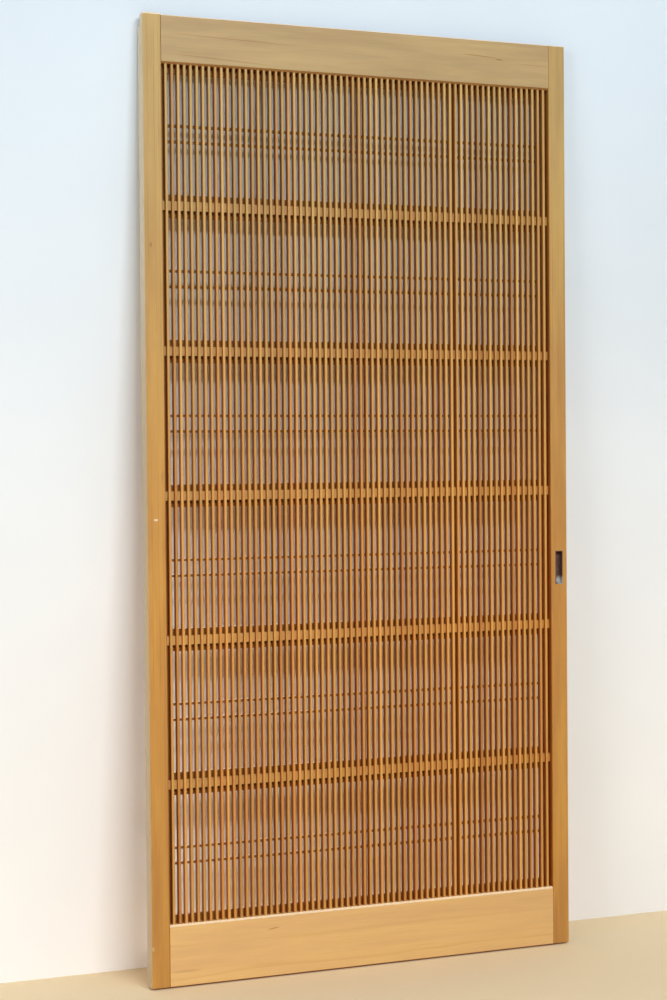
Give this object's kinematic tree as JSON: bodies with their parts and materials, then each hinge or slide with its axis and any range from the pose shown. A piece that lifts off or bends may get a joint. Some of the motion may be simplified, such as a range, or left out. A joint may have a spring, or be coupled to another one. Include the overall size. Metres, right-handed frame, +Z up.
{
  "type": "lattice door",
  "caption": "Sliding wooden lattice door: close upright bars threaded on cross rails in a frame, a slatted screen behind, recessed finger pulls and rollers in the bottom rail.",
  "frame": {"origin": "on the sill under the wheels, midway along the door and midway through its thickness", "axes": "+X to the right seen from the front, +Y from the front to the back, +Z up"},
  "size_m": [0.87, 0.0308, 1.796],
  "materials": {
    "stile_wood": "planed softwood, straight grain along the stile, mellowed",
    "rail_wood": "planed softwood, flat grain along the rail, paler than the stiles",
    "lattice_wood": "planed softwood, tone differs a little from bar to bar",
    "screen_wood": "planed softwood, a little browner",
    "dark_bronze": "dark brown bronze finish, satin, rubbed at the scoop",
    "roller_steel": "zinc plated",
    "wheel_plastic": "moulded, off-white"
  },
  "bodies": {
    "door": {"left_stile": "stile_wood", "right_stile": "stile_wood", "top_rail": "rail_wood", "bottom_rail": "rail_wood", "lattice_rail_1": "lattice_wood", "lattice_rail_2": "lattice_wood", "lattice_rail_3": "lattice_wood", "lattice_rail_4": "lattice_wood", "lattice_rail_5": "lattice_wood", "lattice_bars_01": "lattice_wood", "lattice_bars_02": "lattice_wood", "lattice_bars_03": "lattice_wood", "lattice_bars_04": "lattice_wood", "lattice_bars_05": "lattice_wood", "lattice_bars_06": "lattice_wood", "lattice_bars_07": "lattice_wood", "lattice_bars_08": "lattice_wood", "lattice_bars_09": "lattice_wood", "lattice_bars_10": "lattice_wood", "lattice_bars_11": "lattice_wood", "back_border_left": "screen_wood", "back_border_right": "screen_wood", "back_border_top": "screen_wood", "back_border_bottom": "screen_wood", "back_rail_1": "screen_wood", "back_rail_2": "screen_wood", "back_rail_3": "screen_wood", "back_rail_4": "screen_wood", "back_rail_5": "screen_wood", "back_upright_1": "screen_wood", "back_upright_2": "screen_wood", "back_upright_3": "screen_wood", "back_slat_1_lower": "screen_wood", "back_slat_1_upper": "screen_wood", "back_slat_2_lower": "screen_wood", "back_slat_2_upper": "screen_wood", "back_slat_3_lower": "screen_wood", "back_slat_3_upper": "screen_wood", "back_slat_4_lower": "screen_wood", "back_slat_4_upper": "screen_wood", "back_slat_5_lower": "screen_wood", "back_slat_5_upper": "screen_wood", "back_slat_6_lower": "screen_wood", "back_slat_6_upper": "screen_wood", "front_pull": "dark_bronze", "rear_pull": "dark_bronze", "left_roller_case": "roller_steel", "left_roller_axle": "roller_steel", "right_roller_case": "roller_steel", "right_roller_axle": "roller_steel", "roller_screws": "roller_steel"},
    "left_wheel": {"left_roller_wheel": "wheel_plastic"},
    "right_wheel": {"right_roller_wheel": "wheel_plastic"}
  },
  "joints": [
    {"name": "left_wheel_spin", "type": "hinge", "parent": "door", "child": "left_wheel", "pos_m": [-0.315, 0, 0.015], "axis": [0, 1, 0], "continuous": true},
    {"name": "right_wheel_spin", "type": "hinge", "parent": "door", "child": "right_wheel", "pos_m": [0.315, 0, 0.015], "axis": [0, 1, 0], "continuous": true}
  ]
}
